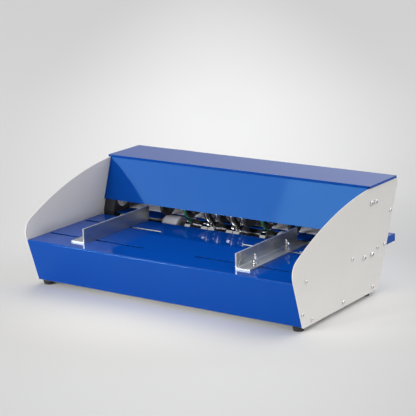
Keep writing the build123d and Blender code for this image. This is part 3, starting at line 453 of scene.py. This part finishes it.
def wing_nut(materials, place, body):
    """A forged wing nut: a tapered hub with two rounded wings."""
    node = f"{place}_wing_nut"
    low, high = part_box(node)
    centre = Vector(((low[0] + high[0]) / 2, (low[1] + high[1]) / 2, low[2]))
    # The wings point towards the node's corner that is furthest from its middle.
    corners = [vertex.co for vertex in nodes[node].data.vertices]
    far = max(corners, key=lambda corner: (corner.x - centre.x) ** 2 + (corner.y - centre.y) ** 2)
    out = Vector((far.x - centre.x, far.y - centre.y, 0)).normalized()
    piece = Piece(f"{place}_forged_nut")
    rings = [round_ring(centre + Z * z * MM, Z, X, radius * MM) for z, radius in NUT_HUB]
    piece.loft(rings, closed=True)
    for side in (1, -1):
        along = out * side
        rings = []
        for index, (reach, up, width, thickness) in enumerate(NUT_WING):
            before = NUT_WING[max(index - 1, 0)]
            after = NUT_WING[min(index + 1, len(NUT_WING) - 1)]
            line = Vector((after[0] - before[0], after[1] - before[1])).normalized()
            normal = along * -line.y + Z * line.x
            spot = centre + along * reach * MM + Z * up * MM
            ring = []
            for step in range(24):
                angle = math.tau * step / 24
                wide, thick = squared(math.cos(angle)), squared(math.sin(angle))
                across = along.cross(Z) * thick * thickness / 2 * MM
                ring.append(spot + normal * wide * width / 2 * MM + across)
            rings.append(ring)
        piece.loft(rings)
    made = piece.finish(body, "plated_steel", materials, node, sharp=50.0)
    rounding = made.modifiers.new("rounding", "SUBSURF")
    rounding.levels = rounding.render_levels = 1


BOLT_NECK = 3 * MM  # half the width of the square neck
THREAD_PITCH, THREAD_STEPS = 1.0 * MM, 4  # loops for each turn
THREAD_ROOT_R, THREAD_DEPTH, THREAD_END_R = 2.45 * MM, 0.5 * MM, 2.2 * MM


def carriage_bolts(materials, side):
    """Carriage bolts with a domed head, a square neck and a cut thread."""
    node = f"{side}_guide_bolts"
    table_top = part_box("feed_table")[1][2]
    piece = Piece(f"{side}_threaded_bolts")
    for low, high in loose_boxes(node):
        middle = (low + high) / 2
        bottom, top = low.z, high.z
        under = table_top - SHEET
        head_r = (high.x - low.x) / 2

        def at(z, radius, count=48):
            return round_ring(Vector((middle.x, middle.y, z)), Z, X, radius, count)

        dome, steps = [], 7
        for step in range(1, steps + 1):
            angle = step / steps * math.pi / 2
            dome.append(at(under - (under - bottom) * math.cos(angle), head_r * math.sin(angle)))
        piece.loft(dome)
        corners = [(x * BOLT_NECK, y * BOLT_NECK) for x, y in ((-1, -1), (1, -1), (1, 1), (-1, 1))]
        piece.loft([
            [Vector((middle.x + x, middle.y + y, z)) for x, y in corners]
            for z in (under, table_top)
        ])
        count, thread = 32, []
        steps = int((top - table_top) / THREAD_PITCH) * THREAD_STEPS
        for step in range(steps + 1):
            z = table_top + step * (top - table_top - 0.4 * MM) / steps
            ring = []
            for index in range(count):
                phase = (step / THREAD_STEPS + index / count) % 1.0
                radius = THREAD_ROOT_R + THREAD_DEPTH * abs(phase - 0.5) * 2
                angle = math.tau * index / count
                x, y = radius * math.cos(angle), radius * math.sin(angle)
                ring.append(Vector((middle.x + x, middle.y + y, z)))
            thread.append(ring)
        thread.append(at(top, THREAD_END_R, count))
        piece.loft(thread)
    piece.finish(f"{side}_guide_set", "plated_steel", materials, node, sharp=40.0)


def bevelled_stripper_rings(materials):
    """Black stripper rings, bevelled towards a hub on their left so that the hub shows."""
    piece = Piece("bevelled_stripper_rings")
    hubs = loose_boxes("tool_hubs")
    hub_r = (hubs[0][1].z - hubs[0][0].z) / 2
    bore_r, edge = 7.8 * MM, 0.8 * MM
    for low, high in loose_boxes("stripper_rings"):
        middle, outer = (low + high) / 2, (high.z - low.z) / 2
        beside_hub = any(abs(hub_high.x - low.x) < 0.2 * MM for _, hub_high in hubs)
        start_r = hub_r + 0.4 * MM if beside_hub else outer - edge
        bevel = 6.0 * MM if beside_hub else edge
        outline = [(low.x, bore_r), (low.x, start_r), (low.x + bevel, outer)]
        outline += [(high.x - edge, outer), (high.x, outer - edge), (high.x, bore_r)]
        rings = [round_ring(Vector((x, middle.y, middle.z)), X, Y, r, 96) for x, r in outline]
        piece.loft(rings, closed=True)
    piece.finish("upper_roller", "black_plastic", materials, "stripper_rings", sharp=25.0)


def rail(piece, outline, x_from, x_to):
    """A strip along X with the given outline of (y, z) points."""
    piece.loft([[Vector((x, y, z)) for y, z in outline] for x in (x_from, x_to)])


def tray_lining(materials):
    """A foam strip that closes the gap under the tray, and a ribbed mat behind the wheels."""
    tray_end, _, tray_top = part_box("outfeed_tray")[1]
    pan_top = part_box("base_pan")[1][2]
    under_tray, end = tray_top - SHEET, tray_end - 2.2 * MM
    front, rear, edge = 110.0 * MM, 113.0 * MM, 0.7 * MM
    strip = Piece("tray_foam_strip")
    outline = [(front, pan_top), (rear, pan_top), (rear, under_tray - edge)]
    outline += [(rear - edge, under_tray), (front + edge, under_tray), (front, under_tray - edge)]
    rail(strip, outline, -end, end)
    strip.finish("chassis", "black_rubber", materials)
    mat = Piece("outfeed_mat")
    front, ribs, pitch, end = 99.6 * MM, 24, 1.5 * MM, 282.0 * MM
    valley, crest = tray_top + 0.3 * MM, tray_top + 1.1 * MM
    outline = [(front, tray_top)]
    # Each rib has a steep front and falls away gently to the foot of the next.
    for number in range(ribs):
        foot = front + number * pitch
        outline += [(foot, valley), (foot + 0.3 * MM, crest), (foot + 0.55 * MM, crest)]
    rear = front + ribs * pitch
    outline += [(rear, valley), (rear, tray_top)]
    rail(mat, outline, -end, end)
    mat.finish("chassis", "grey_rubber", materials)


# The parts of the rear slots whose edges carry a painted highlight, from and to in X.
HIGHLIGHT_EDGE_SPANS = ((-172.0 * MM, -105.0 * MM), (78.0 * MM, 270.0 * MM))


def painted_highlight_slot_edges(materials):
    """Pale strips on the rear slots' rear walls: a painted highlight where their edges catch the
    light.
    """
    table_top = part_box("feed_table")[1][2]
    wall, thick = -11.25 * MM, 0.12 * MM  # the slots' rear wall, and the edge's own thickness
    bottom, top = table_top - 1.45 * MM, table_top - 0.02 * MM
    piece = Piece("painted_highlight_slot_edges")
    outline = [(wall - thick, bottom), (wall, bottom), (wall, top), (wall - thick, top)]
    for x_from, x_to in HIGHLIGHT_EDGE_SPANS:
        rail(piece, outline, x_from, x_to)
    piece.finish("chassis", "blue_paint", materials, look="painted_highlight_edge")


def make_pieces(materials):
    bevelled_stripper_rings(materials)
    tray_lining(materials)
    painted_highlight_slot_edges(materials)
    # Shank radius, head radius, head height, socket radius, and turn from one screw to the next.
    m6_sizes = (3.0 * MM, 5.25 * MM, 3.3 * MM, 2.0 * MM, 0.9)
    m4_sizes = (2.0 * MM, 4.0 * MM, 2.2 * MM, 1.25 * MM, 0.7)
    button_screws(materials, "m6_button_screws", "m6_screws", *m6_sizes)
    button_screws(materials, "m4_button_screws", "m4_screws", *m4_sizes)
    round_o_rings(materials)
    for side in ("left", "right"):
        carriage_bolts(materials, side)
        for end in ("front", "rear"):
            wing_nut(materials, f"{side}_{end}", f"{side}_{end}_nut")


# ---------------------------------------------------------------- stage and light
FLOOR_RADIUS = 14.0
FLOOR_TONE, FLOOR_MOST = 0.72, 0.95
# Painted light on the floor: a pale path along the view, and a pale patch round the machine
# that lifts its shadow. Each is a centre, its size across and along the view, and the tone it
# adds.
FLOOR_LIGHT_PATH = ((0.612, -0.792, 0.0), (0.746, 8.05, 1.0), 0.355)
FLOOR_LIGHT_PATCH = ((0.05, -0.016, 0.0), (0.51, 0.4, 1.0), 0.6)
# Painted shade: the floor's tone falls towards the front, where the lamps light it most.
FLOOR_FRONT_SHADE, FLOOR_FRONT_SHADE_SPAN = 0.4, (-2.09, 2.18)  # the tone falls to this part in front
FLOOR_WARM = (1.0, 0.985, 0.94, 1.0)  # counters the blue light that the apron throws on the floor
FLOOR_WARM_PATCH = ((0.0, -0.2, 0), (0.55, 0.4, 1))
# Sockets of a colour Mix node, whose names are shared with those for other kinds of value.
MIX_A, MIX_B, MIX_RESULT = 6, 7, 2


def add_floor():
    """A large pale disc with painted light: its tone is palest round the machine and along the
    view, and falls towards the front.
    """
    mesh = bpy.data.meshes.new("floor")
    shape = bmesh.new()
    bmesh.ops.create_circle(shape, cap_ends=True, segments=96, radius=FLOOR_RADIUS)
    shape.to_mesh(mesh)
    shape.free()
    floor = bpy.data.objects.new("floor", mesh)
    bpy.context.scene.collection.objects.link(floor)
    paint = Shader("floor", (FLOOR_TONE,) * 3, roughness=1.0, specular_ior_level=0.0)

    def along_view(centre, size):
        """Floor coordinates round a centre, turned so that Y runs along the photograph's view."""
        place = paint.node("ShaderNodeTexCoord")
        mapping = paint.node("ShaderNodeMapping", Location=centre, Scale=size)
        mapping.inputs["Rotation"].default_value = (0, 0, CAMERA_AZIMUTH)
        mapping.vector_type = "TEXTURE"
        paint.link(place.outputs["Object"], mapping.inputs["Vector"])
        return mapping.outputs["Vector"]

    def spread(value, low_in, high_in, low, high):
        """Take a value smoothly from one range to another."""
        level = paint.node("ShaderNodeMapRange")
        level.interpolation_type = "SMOOTHSTEP"
        set_range(level, low_in, high_in, low, high)
        paint.link(value, level.inputs["Value"])
        return level.outputs["Result"]

    def spot(centre, size, low, high):
        """A soft round spot: high in its middle, low at its edge and outside."""
        glow = paint.node("ShaderNodeTexGradient")
        glow.gradient_type = "SPHERICAL"
        paint.link(along_view(centre, size), glow.inputs["Vector"])
        return spread(glow.outputs["Fac"], 0.0, 1.0, low, high)

    def combine(operation, first, second):
        """Two values, each a number or a socket, through one Math node."""
        made = paint.node("ShaderNodeMath")
        made.operation = operation
        for value, socket in zip((first, second), made.inputs):
            if isinstance(value, float):
                socket.default_value = value
            else:
                paint.link(value, socket)
        return made.outputs["Value"]

    parts = paint.node("ShaderNodeSeparateXYZ")
    paint.link(along_view((0, 0, 0), (1, 1, 1)), parts.inputs["Vector"])
    # Painted shade towards the front, and painted light along the view and round the machine.
    front_shade = spread(parts.outputs["Y"], *FLOOR_FRONT_SHADE_SPAN, FLOOR_FRONT_SHADE, 1.0)
    (path_at, path_size, path_tone), (patch_at, patch_size, patch_tone) = FLOOR_LIGHT_PATH, FLOOR_LIGHT_PATCH
    path = spot(path_at, path_size, FLOOR_TONE, FLOOR_TONE + path_tone)
    tone = combine("ADD", path, spot(patch_at, patch_size, 0.0, patch_tone))
    tone = combine("MINIMUM", combine("MULTIPLY", tone, front_shade), FLOOR_MOST)
    warmth = paint.node("ShaderNodeMix")
    warmth.data_type = "RGBA"
    warmth.inputs[MIX_A].default_value = (1, 1, 1, 1)
    warmth.inputs[MIX_B].default_value = FLOOR_WARM
    paint.link(spot(*FLOOR_WARM_PATCH, 0.0, 1.0), warmth.inputs["Factor"])
    scaled = paint.node("ShaderNodeVectorMath")
    scaled.operation = "SCALE"
    paint.link(warmth.outputs[MIX_RESULT], scaled.inputs[0])
    paint.link(tone, scaled.inputs["Scale"])
    paint.link(scaled.outputs["Vector"], paint.main.inputs["Base Color"])
    mesh.materials.append(paint.material)


def add_softbox(name, place, target, size, watts):
    """An area lamp at a place, aimed at a target. The camera doesn't see it."""
    data = bpy.data.lights.new(name, "AREA")
    data.shape = "RECTANGLE"
    data.size, data.size_y = size
    data.energy = watts
    lamp = bpy.data.objects.new(name, data)
    lamp.location = place
    aim = Vector(target) - Vector(place)
    lamp.rotation_euler = aim.to_track_quat("-Z", "Y").to_euler()
    lamp.visible_camera = False
    bpy.context.scene.collection.objects.link(lamp)


WORLD_LOW, WORLD_HIGH = 0.42, 1.95  # strength all round, and at its brightest
WORLD_TOP = Vector((0.2, 0.68, 0.7)).normalized()  # where it is brightest
WORLD_SPAN = (0.5, 1.0)  # cosines of the angles from there, between which it brightens


def add_world():
    """A pale surround, brightest high up behind the machine on the right."""
    world = bpy.data.worlds.new("surround")
    world.use_nodes = True
    tree = world.node_tree
    background = tree.nodes["Background"]
    background.inputs["Color"].default_value = (1, 1, 1, 1)
    place = tree.nodes.new("ShaderNodeTexCoord")
    height = tree.nodes.new("ShaderNodeVectorMath")
    height.operation = "DOT_PRODUCT"
    height.inputs[1].default_value = WORLD_TOP
    level = tree.nodes.new("ShaderNodeMapRange")
    set_range(level, *WORLD_SPAN, WORLD_LOW, WORLD_HIGH)
    tree.links.new(place.outputs["Generated"], height.inputs[0])
    tree.links.new(height.outputs["Value"], level.inputs["Value"])
    tree.links.new(level.outputs["Result"], background.inputs["Strength"])
    bpy.context.scene.world = world


# Name, place, target, size and watts.
LAMPS = (
    ("front_box", (-1.5, -2.2, 0.98), (0, 0, 0.15), (1.9, 0.55), 12.0),
    ("front_right_box", (-0.9, -2.25, 1.0), (0, 0, 0.15), (0.8, 0.6), 3.5),
    ("key_box", (-1.25, -1.75, 0.5), (0, 0, 0.08), (0.4, 0.4), 15.0),
    ("gap_box", (-0.45, -1.95, 0.55), (0, 0, 0.1), (0.3, 0.3), 12.5),  # reaches under the hood
    ("right_box", (2.2, -0.3, 0.5), (0.29, 0, 0.1), (0.6, 0.4), 9.0),
)


def add_lights():
    add_world()
    for lamp in LAMPS:
        add_softbox(*lamp)


# ---------------------------------------------------------------- the scene
bpy.context.scene.view_settings.view_transform = "Standard"
add_camera()
add_floor()
add_lights()
materials = make_materials()
dress_nodes(materials)
make_pieces(materials)
